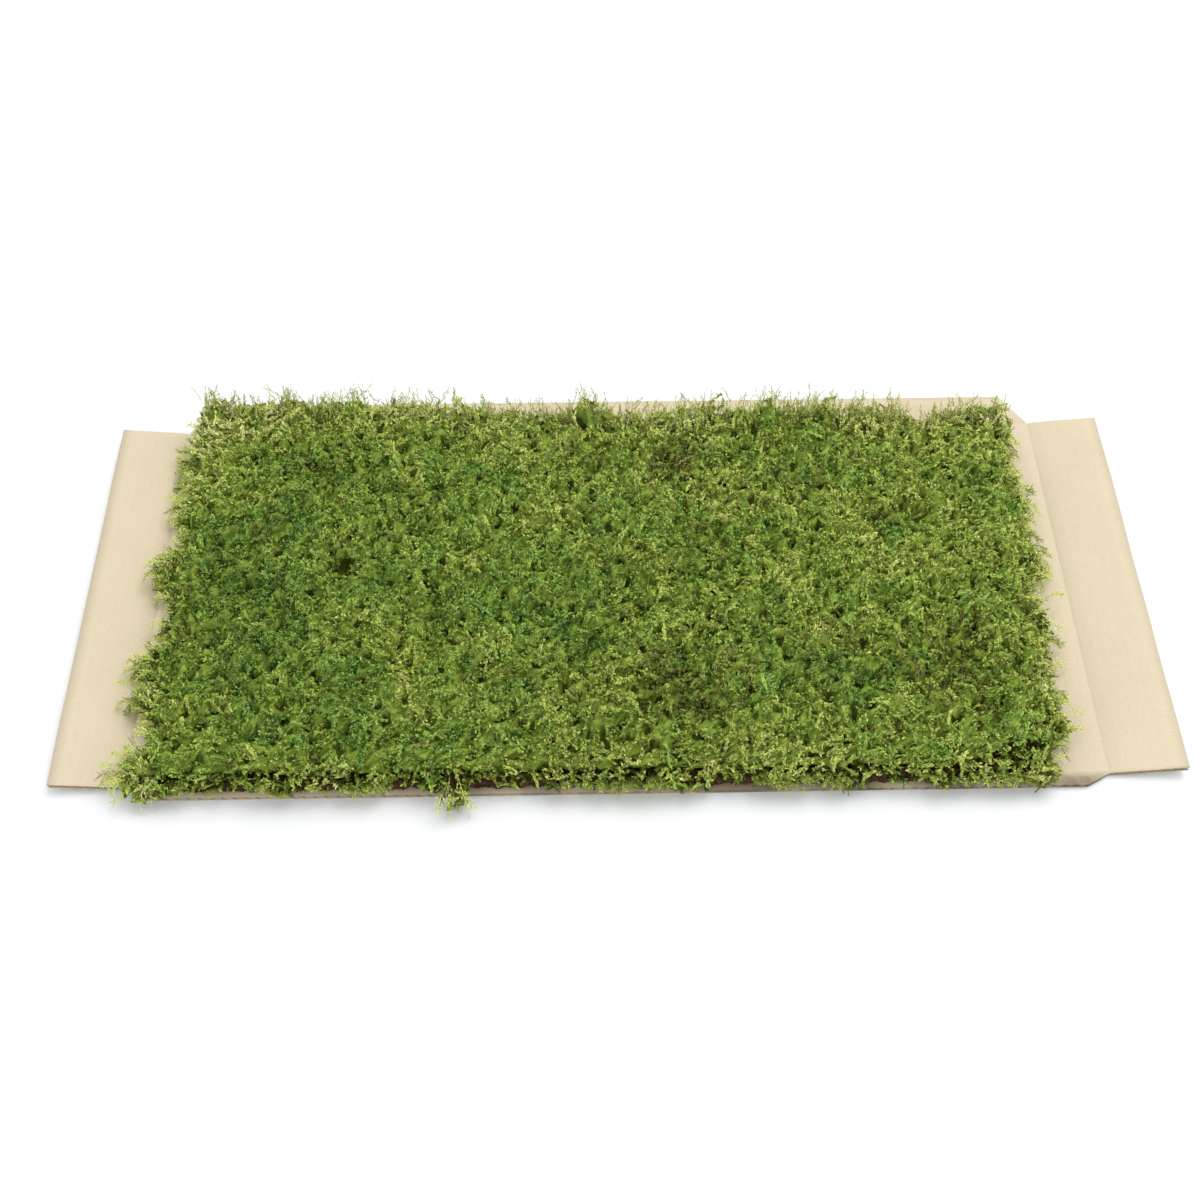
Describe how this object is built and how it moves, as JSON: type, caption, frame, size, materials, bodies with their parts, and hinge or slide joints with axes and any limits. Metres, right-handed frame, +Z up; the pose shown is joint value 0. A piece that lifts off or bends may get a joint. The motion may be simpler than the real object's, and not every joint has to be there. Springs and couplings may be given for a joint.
{
  "type": "moss sheet on card",
  "caption": "Cut rectangular sheet of green feather moss with its brown thatch, lying on a flattened corrugated card blank with its flaps folded out.",
  "frame": {"origin": "middle of the card's base panel, on its underside", "axes": "+Z up out of the moss, +X along the sheet's length, +Y from its front edge to its back edge"},
  "size_m": [0.746, 0.353, 0.0505],
  "materials": {
    "card": "matte",
    "thatch": "matte",
    "moss": "matte"
  },
  "bodies": {
    "root": {"card_sheet": "card", "brown_thatch": "thatch", "green_moss": "moss"}
  },
  "joints": []
}
